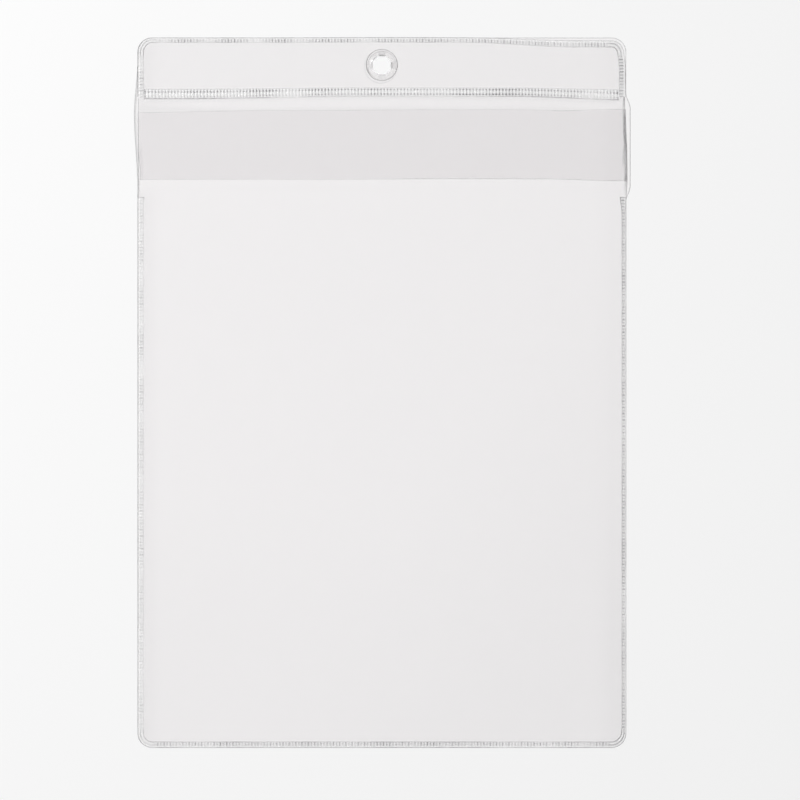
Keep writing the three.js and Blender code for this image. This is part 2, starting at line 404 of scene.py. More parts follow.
def weldedVinyl():
    # The two films fused by a heated knurled die: clear, pressed thin in the grooves, whose grey
    # is painted shade, and slightly milky on the ribs.
    look = {
        "ribTint": "#ffffff",
        "grooveShadeTint": "#757477",
        "milk": "#fbfbfb",
        "milkShare": (0.2, 0.02),   # on a rib, and in a groove as deeply shaded as grooveFrom
        "grooveFrom": 0.25,
        "milkCloud": (0.6, 1.2),
        "milkSize": 2.2 * mm,
        "milkDetail": 3.0,
        "roughness": 0.1,
        "reflect": 0.045,
    }
    material, tree = newMaterial("heatWeldedVinyl")
    # painted shade: the knurl's grooves and lines go grey by their mark
    knurlShade, tint = markedTint(tree, "knurlShade", linear(look["ribTint"]), linear(look["grooveShadeTint"]))
    through = addNode(tree, "ShaderNodeBsdfTransparent", links={"Color": tint})
    milk = addNode(tree, "ShaderNodeBsdfDiffuse", None, {"Color": linear(look["milk"])})
    cloud = spread(tree, grain(tree, look["milkSize"], look["milkDetail"]).outputs[0], *look["milkCloud"])
    onRib, inGroove = look["milkShare"]
    raised = addNode(tree, "ShaderNodeMapRange", None,
                     {"From Max": look["grooveFrom"], "To Min": onRib, "To Max": inGroove},
                     {"Value": knurlShade})
    milky = addNode(tree, "ShaderNodeMath", {"operation": "MULTIPLY"},
                    links={0: cloud.outputs[0], 1: raised.outputs[0]})
    body = addNode(tree, "ShaderNodeMixShader",
                   links={0: milky.outputs[0], 1: through.outputs[0], 2: milk.outputs[0]})
    shine = addNode(tree, "ShaderNodeBsdfGlossy", None,
                    {"Color": (1, 1, 1, 1), "Roughness": look["roughness"]})
    share = mirrorShare(tree, look["reflect"])
    mixed = addNode(tree, "ShaderNodeMixShader",
                    links={0: share.outputs[0], 1: body.outputs[0], 2: shine.outputs[0]})
    finishMaterial(tree, mixed)
    return material


def clearMoulding():
    # Injection-moulded clear plastic, polished by its mould: it bends what lies behind it. The grey
    # line at its rim and the grey patches in the eyelet's throat are painted shade.
    look = {"tint": "#ffffff", "rimShadeTint": "#4c4e52", "roughness": 0.0, "ior": 1.45}
    material, tree = newMaterial("clearMouldedPlastic")
    tint = markedTint(tree, "rimAndThroatShade", linear(look["tint"]), linear(look["rimShadeTint"]))[1]
    glass = addNode(tree, "ShaderNodeBsdfGlass", None, {"Roughness": look["roughness"], "IOR": look["ior"]},
                    {"Color": tint})
    finishMaterial(tree, glass)
    return material


filmMaterial = vinylFilm()
weldMaterial = weldedVinyl()
mouldedMaterial = clearMoulding()
print("materials made")


# Sheets

sheets = {
    "cell": 3.4 * mm,
    "edgeWidth": 0.3 * mm,      # of the line beside a cut edge
    "edgeMargin": 0.05 * mm,    # a place closer to a film's edge than this is on it
    "barrelClearance": 0.2 * mm,
    "holeWindow": 7 * mm,       # the hole's cells are made anew inside this, either way
    # painted shade beside its left and right welds: how dark, and how far in that reaches
    "leftShade": (0.024, 9 * mm),
    "rightShade": (0.014, 14 * mm),
}
holeRadius = barrelRadius + sheets["barrelClearance"]


# painted shade beside the side welds
def sideShade(x, leftPart=1.0, rightPart=1.0):
    left, leftReach = sheets["leftShade"]
    right, rightReach = sheets["rightShade"]
    inside = halfWidth - lying["weldWidth"]
    return (left * leftPart * (1 - smooth((x + inside) / leftReach))
            + right * rightPart * (1 - smooth((inside - x) / rightReach)))


# The pocket stands open a little at its mouth. On the right the lip and the flap come down steeply
# at their sides, and on the left they lie down gently.

mouth = {
    "stand": 1.1 * mm,
    "top": 142 * mm,
    "bottom": 91 * mm,
    "fade": 12 * mm,
    "gentleWidth": 70 * mm,
    "steepWidth": (1.0 * mm, 1.3 * mm),     # at its ends, and how much more where it is widest
    "steepPlace": (28 * mm, 44 * mm, 88 * mm),  # where from the top it widens, is widest and narrow again
    "steepUneven": 0.6,
    "steepWave": (9 * mm, 7.7),
    "steepPower": 1.6,
    # finer cells near the side, by how far in they are
    "steepCuts": (0.35 * mm, 0.7 * mm, 1.05 * mm, 1.4 * mm, 1.8 * mm, 2.3 * mm, 3.2 * mm, 4.6 * mm,
                  6.5 * mm),
    "steepCutReach": 12 * mm,
    "pull": (0.35 * mm, -0.55 * mm),    # its side is pulled in at first, and is out a little further down
    "pullPlace": (28 * mm, 34 * mm),    # where from the top that changes, and over what length
    "pullWidth": 8 * mm,
    "pullUneven": 0.12 * mm,
    "pullWave": (7 * mm, 1.3),
    "grey": 0.2,                # painted shade on the steep side: how grey
    "greyAverage": 1.05,
    "greyWaves": ((0.22, (13 * mm, 5.9)), (0.2, (4 * mm, 2.4))),
    "greyAbove": (0.6, 3 * mm),         # how much darker, and how soon, where the flap is alone
    "greyBottom": (92 * mm, 5 * mm),    # where it ends, and over what length
    "greyRise": 2.2,
}


def mouthShare(y):
    return smooth((mouth["top"] - y) / mouth["fade"]) * smooth((y - mouth["bottom"]) / mouth["fade"])


def steepShare(x, y, edgeX):
    # widest near its top, and puckered, so no steady width
    narrow, more = mouth["steepWidth"]
    start, widest, end = mouth["steepPlace"]
    fromTop = topY - y
    hump = smooth((fromTop - start) / (widest - start)) * smooth((end - fromTop) / (end - widest))
    width = (narrow + more * hump) * (1 + mouth["steepUneven"] * sway(mouth["steepWave"], 0, y))
    return min(max((x - edgeX + width) / width, 0), 1)


def mouthLift(x, y, edgeX):
    gentle = smooth((x + halfWidth) / mouth["gentleWidth"])
    down = steepShare(x, y, edgeX) ** mouth["steepPower"]
    return mouthShare(y) * mouth["stand"] * gentle * (1 - down)


def mouthPull(x, y, edgeX):
    width = mouth["pullWidth"]
    near = min(max((x - edgeX + width) / width, 0), 1)
    start, reach = mouth["pullPlace"]
    along = smooth((topY - y - start) / reach)
    upper, lower = mouth["pull"]
    pull = upper + (lower - upper) * along
    ending = smooth((y - mouth["bottom"]) / mouth["fade"])
    return ending * (pull + mouth["pullUneven"] * sway(mouth["pullWave"], 0, y)) * near


# painted shade where the lip and the flap come down steeply on the right
def mouthGrey(x, y, edgeX):
    uneven = mouth["greyAverage"]
    for share, wave in mouth["greyWaves"]:
        uneven += share * sway(wave, 0, y)
    darker, rise = mouth["greyAbove"]
    uneven += darker * smooth((y - lipHigh.y) / rise)
    bottom, fade = mouth["greyBottom"]
    ending = smooth((y - bottom) / fade)
    return mouth["grey"] * uneven * smooth(steepShare(x, y, edgeX) * mouth["greyRise"]) * ending


def steepCuts(mesh, edgeX, lowY):
    for away in mouth["steepCuts"]:
        near = [face for face in mesh.faces if face.calc_center_median().y > lowY
                and face.calc_center_median().x > edgeX - mouth["steepCutReach"]]
        geom = list({item for face in near for item in (*face.verts, *face.edges, face)})
        cutLine(mesh, (edgeX - away, 0, 0), (1, 0, 0), geom=geom)


# Back sheet

backSheet = {
    "edgeWidth": 0.42 * mm,
    # how much painted shade each cut edge has, then the bowed sides
    "edgeGrey": (0.66, 0.4, 0.38, 0.4),     # left, right, top, bottom
    "bowedGrey": (0.3, 0.5),                # left, right
    "sideWidth": 2 * mm,                    # an edge within this of the side is a side edge
    # painted shade along the left bow, a soft grey band: how grey and wide, and where from the top it starts
    # and ends
    "bowBand": (0.26, 1.3 * mm, 12 * mm, 80 * mm),
    "bowBandFade": (14 * mm, 8 * mm),
}


def bowBand(y, inside):
    deep, width, start, end = backSheet["bowBand"]
    startFade, endFade = backSheet["bowBandFade"]
    fromTop = topY - y
    along = smooth((fromTop - start) / startFade) * smooth((end - fromTop) / endFade)
    return deep * along * max(1 - inside / width, 0)


def backGrey(x, y):
    # painted shade at the cut edge, stronger towards the light
    left, right, top, bottom = backSheet["edgeGrey"]
    if math.hypot(x - eyeletCentre.x, y - eyeletCentre.y) < sheets["holeWindow"]:
        return 0.0
    if abs(x) > halfWidth - backSheet["sideWidth"]:
        welded = left if x < 0 else right
        bowed = backSheet["bowedGrey"][x > 0]
        share = bow(x, y) if x > 0 else bowBand(y, x + halfWidth) / backSheet["bowBand"][0]
        return welded + (bowed - welded) * share
    return top if y > 0 else bottom


def bowCuts(mesh):
    count, pitch = lying["bowCuts"]
    start, end = lying["rightBow"][1], lying["rightBow"][3]
    for step in range(count):
        for first in (start, end - (count - 1) * pitch):
            cutLine(mesh, (0, topY - first - step * pitch, 0), (0, 1, 0))


def makeBackSheet():
    mesh = plainGrid(-halfWidth, halfWidth, bottomY, topY, sheets["cell"])
    r = lying["cornerRadius"]
    for x, y, start in ((halfWidth - r, topY - r, 0), (r - halfWidth, topY - r, math.pi / 2),
                        (r - halfWidth, bottomY + r, math.pi), (halfWidth - r, bottomY + r, math.pi * 1.5)):
        roundCorner(mesh, (x, y, 0), r, start)
    openHole(mesh, eyeletCentre, holeRadius, sheets["holeWindow"])
    bowCuts(mesh)
    cutLine(mesh, (backSheet["bowBand"][1] - halfWidth, 0, 0), (1, 0, 0))
    mark = edgeAndThicken(mesh, backLow.z, backSheet["edgeWidth"], backGrey)
    for vert in mesh.verts:
        vert[mark] = max(vert[mark], bowBand(vert.co.y, vert.co.x + halfWidth))
        bowOut(vert.co)
        vert.co.z += lie(vert.co.x, vert.co.y)
    return finishPiece(mesh, "backFilm", "pouch", filmMaterial, ["back_sheet"])


# Header sheet, inside its welds

header = {
    "bodyGrey": 0.017,          # it and the flap are of a slightly less clear film
    "arcReach": 6 * mm,         # how far up it follows the cross weld's arc
}


def makeHeaderSheet():
    inside = lying["cornerRadius"] - lying["weldWidth"]
    mesh = plainGrid(headerLow.x, headerHigh.x, headerLow.y, headerHigh.y, sheets["cell"])
    roundCorner(mesh, (headerHigh.x - inside, headerHigh.y - inside, 0), inside, 0)
    roundCorner(mesh, (headerLow.x + inside, headerHigh.y - inside, 0), inside, math.pi / 2)
    openHole(mesh, eyeletCentre, holeRadius, sheets["holeWindow"])
    mark = edgeAndThicken(mesh, headerLow.z, sheets["edgeWidth"], lambda x, y: 0.0)
    for vert in mesh.verts:
        vert[mark] = header["bodyGrey"] + sideShade(vert.co.x)
        followWeld(vert.co, 1, headerDrift)
        near = smooth((headerLow.y + header["arcReach"] - vert.co.y) / header["arcReach"])
        vert.co.y += crossArc(vert.co.x) * drift["arcUpper"] * near
        vert.co.z += lie(vert.co.x, vert.co.y)
    return finishPiece(mesh, "headerFilm", "pouch", filmMaterial, ["header_front_sheet"])


# Rain flap, the free part of the header's film

flap = {
    "rise": 6 * mm,             # length over which it climbs on to the lip
    "rootCuts": (5, 1.1 * mm),  # finer cells there: how many, how far apart
    "foldLength": 5 * mm,       # it bends over this length when it is lifted
    "arcReach": 12 * mm,        # how far down it follows the cross weld's arc
    "arcSide": 2 * mm,
    "bodyGrey": 0.045,
    "rightShade": 0.5,          # how much of the shade beside the right welds it has
    "sideGrey": 0.42,
    "edgeGrey": (0.16, 0.36),   # its lower edge, at the left and at the right
    "edgeTurn": (-10 * mm, 30 * mm),    # where that changes, and over what length
    # painted shade inside its lower left side: how dark, fully to one width and not at all past the other
    "leftShade": (0.03, 1.4 * mm, 2.6 * mm),
    "leftShadePlace": (50 * mm, 6 * mm),    # where from the top that starts, and over what length
    "leftIn": 1.0 * mm,         # and further in
    "leftInPlace": (54 * mm, 12 * mm),
    "leftInWidth": 6 * mm,
    "leftInLess": 0.4,          # how much less grey its edge is there
    # its lower edge isn't cut quite straight: how deep each step is, where it starts and how long it is
    "edgeSteps": ((0.9 * mm, 75 * mm, 45 * mm), (-0.15 * mm, 0, 20 * mm)),
    "edgeUneven": 0.12 * mm,
    "edgeWave": (70 * mm, 9.3),
}


def flapLeftShade(x, y):
    deep, near, far = flap["leftShade"]
    start, reach = flap["leftShadePlace"]
    along = smooth((topY - y - start) / reach)
    return deep * along * smooth((flapLow.x + far - x) / (far - near))


def flapLeftIn(x, y):
    start, reach = flap["leftInPlace"]
    width = flap["leftInWidth"]
    along = smooth((topY - y - start) / reach)
    return flap["leftIn"] * along * smooth((flapLow.x + width - x) / width)


# painted shade at its cut edges
def flapGrey(x, y):
    if y > crossLow.y - sheets["edgeMargin"]:
        return 0.0
    if abs(x) > flapHigh.x - sheets["edgeMargin"]:
        return flap["sideGrey"] * (1 - flap["leftInLess"] * flapLeftIn(x, y) / flap["leftIn"])
    left, right = flap["edgeGrey"]
    start, reach = flap["edgeTurn"]
    return left + (right - left) * smooth((x - start) / reach)


def flapDip(x, y):
    share = smooth((crossLow.y - y) / (crossLow.y - flapLow.y))
    drop = flap["edgeUneven"] * sway(flap["edgeWave"], x)
    for deep, start, reach in flap["edgeSteps"]:
        drop += deep * smooth((x - start) / reach)
    return share * drop


def makeFlap():
    mesh = plainGrid(flapLow.x, flapHigh.x, flapLow.y, crossLow.y, sheets["cell"])
    count, pitch = flap["rootCuts"]
    for step in range(1, count + 1):
        cutLine(mesh, (0, crossLow.y - step * pitch, 0), (0, 1, 0))
    for width in flap["leftShade"][1:]:
        cutLine(mesh, (flapLow.x + width, 0, 0), (1, 0, 0))
    steepCuts(mesh, flapHigh.x, flapLow.y)
    mark = edgeAndThicken(mesh, 0, sheets["edgeWidth"], flapGrey)
    arcReach, arcSide = flap["arcReach"], flap["arcSide"]
    for vert in mesh.verts:
        x, y = vert.co.x, vert.co.y
        climb = smooth((crossLow.y - y) / flap["rise"])
        height = headerLow.z + climb * (flapLow.z - headerLow.z + stand(x, y))
        # its own grey, with painted shade beside its sides
        body = flap["bodyGrey"] + flapLeftShade(x, y) + sideShade(x, 0, flap["rightShade"])
        vert[mark] = max(vert[mark], mouthGrey(x, y, flapHigh.x), body)
        vert.co.z += height + mouthLift(x, y, flapHigh.x) + lie(x, y)
        vert.co.x += flapLeftIn(x, y) - mouthPull(x, y, flapHigh.x)
        root = smooth((y - crossLow.y + arcReach) / arcReach) * smooth((headerHigh.x - abs(x)) / arcSide)
        vert.co.y += crossArc(x) * root - flapDip(x, y)
    piece = finishPiece(mesh, "rainFlapFilm", None, filmMaterial, ["rain_flap"])
    start = (0, flapAxis.y, flapAxis.z)
    end = (0, flapAxis.y - flap["foldLength"], flapAxis.z)
    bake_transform(piece, "pouch", "flap", start=start, end=end)
    return piece


# Pocket sheet, with the lip at its top

pocket = {
    "mouthEdgeGrey": (0.08, 0.5),       # plain, and how much its wave adds
    "mouthEdgeWave": (14 * mm, 3.6),
    "lipSideGrey": 0.4,
    "lipInside": 0.85,          # how much less its left side bows than the back's
    "lipLeftIn": 0.4 * mm,
    "lipLeftWidth": 6 * mm,
    "lipLeftReach": 8 * mm,
    "foldPlace": (-2 * mm, 8 * mm),     # it bends between these, up from the lip's axis
    "lowerRightShade": 0.02,               # painted shade, darker towards the lower right
    "lowerRightShadePlace": (0.55, 0.4),   # where on the way there it starts, and over what share of the way
    "lowerLeftShade": 0.012,         # painted shade, darker towards the lower left
    "lowerPlace": (0.62, 0.25),
    "weldedReach": 6 * mm,      # how soon the shade beside the left weld ends above the weld
    # dips of the mouth's edge: where, how far each side, how deep
    "mouthDips": ((-112 * mm, 34 * mm, 1.25 * mm), (-35 * mm, 45 * mm, 0.35 * mm),
                  (88 * mm, 9 * mm, 0.5 * mm), (114 * mm, 10 * mm, -0.3 * mm)),
    "mouthUneven": 0.12 * mm,
    "mouthWave": (22 * mm, 6.6),
}


# painted shade at the cut edges of the mouth and of the lip's sides
def pocketGrey(x, y):
    if y > lipHigh.y - sheets["edgeMargin"]:
        plain, more = pocket["mouthEdgeGrey"]
        return plain + more * max(sway(pocket["mouthEdgeWave"], x), 0)
    if y > sideWeldHigh.y - sheets["edgeMargin"]:
        return pocket["lipSideGrey"]
    return 0.0


# painted shade across the pocket, with the shade beside its welds
def pocketShade(x, y):
    across = (x + halfWidth) / (2 * halfWidth)
    down = (topY - y) / (topY - bottomY)
    start, reach = pocket["lowerRightShadePlace"]
    lowerRight = smooth(((across + down) / 2 - start) / reach)
    start, reach = pocket["lowerPlace"]
    lower = smooth((down - start) / reach)
    welded = 1 - smooth((y - lipAxis.y) / pocket["weldedReach"])
    return (pocket["lowerRightShade"] * lowerRight + pocket["lowerLeftShade"] * lower * (1 - across)
            + sideShade(x, welded, 1 + lower))


def mouthDip(x, y):
    # the mouth's edge hangs lower at the left and dips once near the right
    drop = sum(deep * bell(x - place, reach) for place, reach, deep in pocket["mouthDips"])
    rise = pocket["mouthUneven"] * sway(pocket["mouthWave"], x) - drop
    return rise * smooth((y - lipAxis.y) / (lipHigh.y - lipAxis.y))


def makePocketSheet():
    inside = lying["cornerRadius"] - lying["weldWidth"]
    mesh = plainGrid(-halfWidth, halfWidth, pocketLow.y, lipHigh.y, sheets["cell"])
    for x in (pocketLow.x, pocketHigh.x):
        cutLine(mesh, (x, 0, 0), (1, 0, 0))
    cutLine(mesh, (0, sideWeldHigh.y, 0), (0, 1, 0))
    welded = [face for face in mesh.faces if abs(face.calc_center_median().x) > pocketHigh.x
              and face.calc_center_median().y < sideWeldHigh.y]
    bmesh.ops.delete(mesh, geom=welded, context="FACES")
    low = pocketLow.y + inside
    roundCorner(mesh, (pocketLow.x + inside, low, 0), inside, math.pi)
    roundCorner(mesh, (pocketHigh.x - inside, low, 0), inside, math.pi * 1.5)
    steepCuts(mesh, halfWidth, sideWeldHigh.y)
    mark = edgeAndThicken(mesh, pocketLow.z, sheets["edgeWidth"], pocketGrey)
    leftWidth, leftReach = pocket["lipLeftWidth"], pocket["lipLeftReach"]
    for vert in mesh.verts:
        x, y = vert.co.x, vert.co.y
        vert[mark] = max(vert[mark], mouthGrey(x, y, halfWidth), pocketShade(x, y))
        vert.co.z += mouthLift(x, y, halfWidth)
        vert.co.x -= mouthPull(x, y, halfWidth)
        vert.co.y += mouthDip(x, y)
        if x < 0:
            bowOut(vert.co, 1 - pocket["lipInside"])
            free = smooth((y - lipAxis.y) / leftReach) * smooth((leftWidth - x - halfWidth) / leftWidth)
            vert.co.x += pocket["lipLeftIn"] * free
        if y < sideWeldHigh.y + sheets["edgeMargin"]:
            followWeld(vert.co, -1, pocketDrift)
        vert.co.z += lie(vert.co.x, vert.co.y) + stand(vert.co.x, vert.co.y)
    piece = finishPiece(mesh, "pocketFilm", None, filmMaterial, ["pocket_front_sheet", "pocket_lip"])
    foldStart, foldEnd = pocket["foldPlace"]
    start = (0, lipAxis.y + foldStart, lipAxis.z)
    end = (0, lipAxis.y + foldEnd, lipAxis.z)
    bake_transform(piece, "pouch", "lip", start=start, end=end)
    return piece


backFilm = makeBackSheet()
headerFilm = makeHeaderSheet()
flapFilm = makeFlap()
pocketFilm = makePocketSheet()

print("sheets made")


# Welds: a strip of ribs, laid along a path and bent round the pouch's corners

weld = {
    "cellsAcross": 18,
    "rimWidth": 0.8 * mm,
    "rimHeight": 0.45 * mm,
    "bandHeight": 0.6 * mm,
    "bandSlope": 0.25 * mm,
    "bandEdgeGrey": 0.6,        # of the band's own, on the rim
    "padHeight": 0.2 * mm,
    "padFade": 4 * mm,          # how soon beside a corner the pads are full
    "lineWidth": 0.45 * mm,
    "pitch": 1.515 * mm,
    "cuts": (0, 0.3, 0.5, 0.7),         # across each rib, as shares of the pitch
    "oddRib": 0.2,              # every other rib is deeper
    "ribDepth": (0.9, 0.8),     # on average, and how much it sways
    "ribDepthRange": (0.4, 1.2),
    "ribDepthWave": (11 * mm, 6.1),
    "ribShift": 0.9,
    "ribShiftWave": (20 * mm, 2.9),
    "greyUneven": 0.8,
    "greyWave": (15 * mm, 4.7),
    # round the die's corners: a second line, where from the outer side, how wide and how grey, by
    # itself and for the inner line's grey, and how much wider and greyer the inner line is
    "cornerLine": (1.4 * mm, 0.25 * mm, 0.25, 0.5),
    "cornerInner": (0.2, 0.35),
}

# painted shade on each run, mostly darker on the runs on the right: the band, its ribs, the rim's line and
# the inner line
runShade = {
    "headerLeft": (0.05, 0.36, 0.8, 0.36),
    "headerTop": (0.08, 0.42, 0.5, 0.4),
    "headerRight": (0.18, 0.5, 0.75, 0.62),
    "pocketLeft": (0.05, 0.26, 0.36, 0.26),
    "pocketBottom": (0.12, 0.4, 0.5, 0.5),
    "pocketRight": (0.13, 0.5, 0.55, 0.62),
}


def edgeWeldSection(leftRun, endRun, rightRun):
    lineWidth = weld["lineWidth"]
    depthAverage, depthSwayed = weld["ribDepth"]
    shallow, deepest = weld["ribDepthRange"]
    cornerPlace, cornerWidth, cornerGrey, cornerMore = weld["cornerLine"]
    innerWider, innerGreyer = weld["cornerInner"]
    edgeGrey = weld["bandEdgeGrey"]

    def section(along, across, width, corner, turned):
        # height above the weld's seat and the painted shade there
        # turned goes from 0 on the left run through 1 on the end run to 2 on the right run
        before, after = (leftRun, endRun) if turned < 1 else (endRun, rightRun)
        share = turned if turned < 1 else turned - 1
        bandGrey, ribGrey, rimGrey, innerGrey = (a + (b - a) * share for a, b in
                                                 zip(runShade[before], runShade[after]))
        uneven = 1 + weld["greyUneven"] * sway(weld["greyWave"], along)
        deep = depthAverage + depthSwayed * sway(weld["ribDepthWave"], along)
        deep = min(max(deep, shallow), deepest) * (1 - corner)
        outer = smooth(1 - across / lineWidth)
        inner = smooth((across - (width - lineWidth * (1 + innerWider * corner))) / lineWidth)
        band = smooth((across - weld["rimWidth"]) / weld["bandSlope"]) * (1 - inner)
        phase = along / weld["pitch"]
        odd = 1 + weld["oddRib"] * math.cos(math.pi * phase)
        shift = weld["ribShift"] * sway(weld["ribShiftWave"], along)
        rib = (0.5 + 0.5 * math.cos(2 * math.pi * phase + shift)) * odd
        height = weld["rimHeight"] + band * (weld["bandHeight"] - weld["rimHeight"]
                                             + min(rib * deep + corner, 1) * weld["padHeight"])
        knurlShade = rimGrey * outer * uneven + inner * (innerGrey * uneven + innerGreyer * corner)
        knurlShade += bandGrey * uneven * (edgeGrey + (1 - edgeGrey) * band) * (1 - outer)
        knurlShade += band * ribGrey * deep * rib
        bent = bell(across - cornerPlace, cornerWidth)
        knurlShade += corner * bent * (cornerGrey + cornerMore * innerGrey) * uneven
        return height, min(max(knurlShade, 0), 1)

    return section


crossWeld = {
    "pitch": 1.58 * mm,
    "cuts": (0, 0.16, 0.32, 0.5, 0.68, 0.84),
    "drop": 0.4 * mm,           # how far its lip runs on under the flap's root
    "endGap": 0.03 * mm,        # keeps its ends clear of the side welds
    "bandSlope": (0.6 * mm, 0.4 * mm),      # at its upper and its lower side
    "bandEnd": 0.3 * mm,        # how far above the lower line it ends
    "greyUneven": 0.5,
    "greyWave": (13 * mm, 5.5),
    "ribShape": (1.5, 0.25),    # how steep the ribs' sides are, and how much narrower the ribs
    "ribShift": 1.2,
    "ribShiftWave": (16 * mm, 8.8),
    "dotRadius": 0.4 * mm,
    "dotRows": (1.2 * mm, 3.5 * mm),        # from its upper edge
    "lowerDots": (0.5, 1.1, 36 * mm, 44 * mm),  # everywhere, and more about one place
    "netGrey": (0.03, 0.16, 0.27, 0.3),     # everywhere, on dots, between ribs, on dots between ribs
    "lowerLine": (4.3 * mm, 0.3 * mm),      # where from its upper edge, and how wide
    "lowerLineGrey": (0.3, 0.6),            # in the middle and at its ends
    "lowerLineTurn": (0.4, 0.3),            # where it goes from one to the other, in half widths
    "upperLine": (0.25 * mm, 0.2 * mm, 0.3),    # where, how wide and how grey
    "endLine": (0.3 * mm, 0.25 * mm, 0.4),
}


def crossWeldSection(along, across, width, corner, turned):
    # ribs between two rows of dots, then a plain lip with a dark line, their greys painted shade
    x = headerLow.x + along
    uneven = 1 + crossWeld["greyUneven"] * sway(crossWeld["greyWave"], along)
    upperSlope, lowerSlope = crossWeld["bandSlope"]
    linePlace, lineWidth = crossWeld["lowerLine"]
    band = smooth(across / upperSlope) * smooth((linePlace - crossWeld["bandEnd"] - across) / lowerSlope)
    shift = crossWeld["ribShift"] * sway(crossWeld["ribShiftWave"], along)
    turn = 2 * math.pi * along / crossWeld["pitch"] + shift
    steep, narrower = crossWeld["ribShape"]
    rib = smooth((0.5 + 0.5 * math.cos(turn)) * steep - narrower)
    upperDots, lowerDots = (bell(across - row, crossWeld["dotRadius"]) for row in crossWeld["dotRows"])
    plain, more, place, reach = crossWeld["lowerDots"]
    dots = upperDots + lowerDots * (plain + more * bell(x - place, reach))
    everywhere, onDots, between, dotsBetween = crossWeld["netGrey"]
    net = everywhere + onDots * dots + (1 - rib) * (between + dotsBetween * dots)
    middle, ends = crossWeld["lowerLineGrey"]
    start, reach = crossWeld["lowerLineTurn"]
    lower = middle + (ends - middle) * smooth((abs(x) / halfWidth - start) / reach)
    lower *= bell(across - linePlace, lineWidth)
    place, reach, grey = crossWeld["upperLine"]
    upper = grey * bell(across - place, reach)
    place, reach, grey = crossWeld["endLine"]
    endLine = grey * bell(along - place, reach)
    height = weld["rimHeight"] + band * (weld["bandHeight"] - weld["rimHeight"] + rib * weld["padHeight"])
    knurlShade = net * band * uneven + upper + lower * uneven + endLine * band
    return height, min(max(knurlShade, 0), 1)


def weldStrip(length, width, section, placeOf, pitch, cuts):
    count = round(length / pitch)
    stretch = length / (count * pitch)
    cuts = [*cuts, 1]
    steps = count * (len(cuts) - 1)
    mesh = bmesh.new()
    mark = mesh.verts.layers.float.new("knurlShade")
    bmesh.ops.create_grid(mesh, x_segments=steps, y_segments=weld["cellsAcross"], size=0.5)
    made = bmesh.ops.extrude_face_region(mesh, geom=mesh.faces[:])
    crown = {item for item in made["geom"] if isinstance(item, bmesh.types.BMVert)}
    for vert in mesh.verts:
        whole, part = divmod(round((vert.co.x + 0.5) * steps), len(cuts) - 1)
        along = (whole + cuts[part]) * pitch
        across = (vert.co.y + 0.5) * width
        x, y, corner, turned = placeOf(along * stretch, across)
        height, knurlShade = section(along, across, width, corner, turned)
        seat = backHigh.z + lie(x, y)
        vert[mark] = knurlShade if vert in crown else 0.0
        vert.co = Vector((x, y, seat + (height if vert in crown else 0.0)))
    return mesh


def roundPath(end, sideLength, driftOf):
    # up one side, round both corners of an end and down the other side: end is 1 at the top, -1 at
    # the bottom
    radius = lying["cornerRadius"]
    arc = radius * math.pi / 2
    straight = 2 * (halfWidth - radius)
    centreY = end * (topY - radius)
    firstCorner = sideLength
    secondCorner = sideLength + arc + straight
    length = 2 * sideLength + 2 * arc + straight

    def cornerShare(along):
        # the die's corners have no pads
        away = min(abs(along - firstCorner - arc / 2), abs(along - secondCorner - arc / 2)) - arc / 2
        return 1 - smooth(away / weld["padFade"])

    def placeOf(along, across):
        if along < firstCorner:
            turned, x, y = 0, radius - halfWidth, centreY - end * (firstCorner - along)
        elif along < firstCorner + arc:
            turned, x, y = (along - firstCorner) / arc, radius - halfWidth, centreY
        elif along < secondCorner:
            turned, x, y = 1, radius - halfWidth + along - firstCorner - arc, centreY
        elif along < secondCorner + arc:
            turned, x, y = 1 + (along - secondCorner) / arc, halfWidth - radius, centreY
        else:
            turned, x, y = 2, halfWidth - radius, centreY - end * (along - secondCorner - arc)
        angle = math.pi * (1 - 0.5 * turned)
        outX, outY = math.cos(angle), end * math.sin(angle)
        offset, share = driftOf(x + radius * outX, y + radius * outY)
        reach = radius - offset - across * share
        return x + reach * outX, y + reach * outY, cornerShare(along), turned

    return length, placeOf


def crossPath():
    # between the inner sides of the header's side welds
    width = crossHigh.y - crossLow.y + crossWeld["drop"]
    left = headerLow.x + crossWeld["endGap"]
    offset, share = headerDrift(halfWidth, crossHigh.y)
    right = halfWidth - offset - share * lying["weldWidth"] - crossWeld["endGap"]

    def placeOf(along, across):
        x = left + along
        upper = drift["arcUpper"]
        part = upper + (1 - upper) * smooth(across / drift["arcUpperWidth"])
        return x, crossHigh.y - across + crossArc(x) * part, 0, 1

    return right - left, placeOf, width


def makeWeld(name, replaced, length, width, section, placeOf, values):
    mesh = weldStrip(length, width, section, placeOf, values["pitch"], values["cuts"])
    return finishPiece(mesh, name, "pouch", weldMaterial, replaced)


def makeWelds():
    length, placeOf = roundPath(1, topY - lying["cornerRadius"] - crossLow.y, headerDrift)
    makeWeld("headerKnurl", ["header_left_weld", "header_top_weld", "header_right_weld"], length,
             lying["weldWidth"], edgeWeldSection("headerLeft", "headerTop", "headerRight"), placeOf, weld)
    length, placeOf = roundPath(-1, topY - lying["cornerRadius"] + sideWeldHigh.y, pocketDrift)
    makeWeld("pocketKnurl", ["pocket_left_weld", "pocket_bottom_weld", "pocket_right_weld"], length,
             lying["weldWidth"], edgeWeldSection("pocketLeft", "pocketBottom", "pocketRight"), placeOf, weld)
    length, placeOf, width = crossPath()
    makeWeld("crossKnurl", ["header_cross_weld"], length, width, crossWeldSection, placeOf, crossWeld)


makeWelds()
print("welds made")


# Eyelet and washer, turned about the hang hole

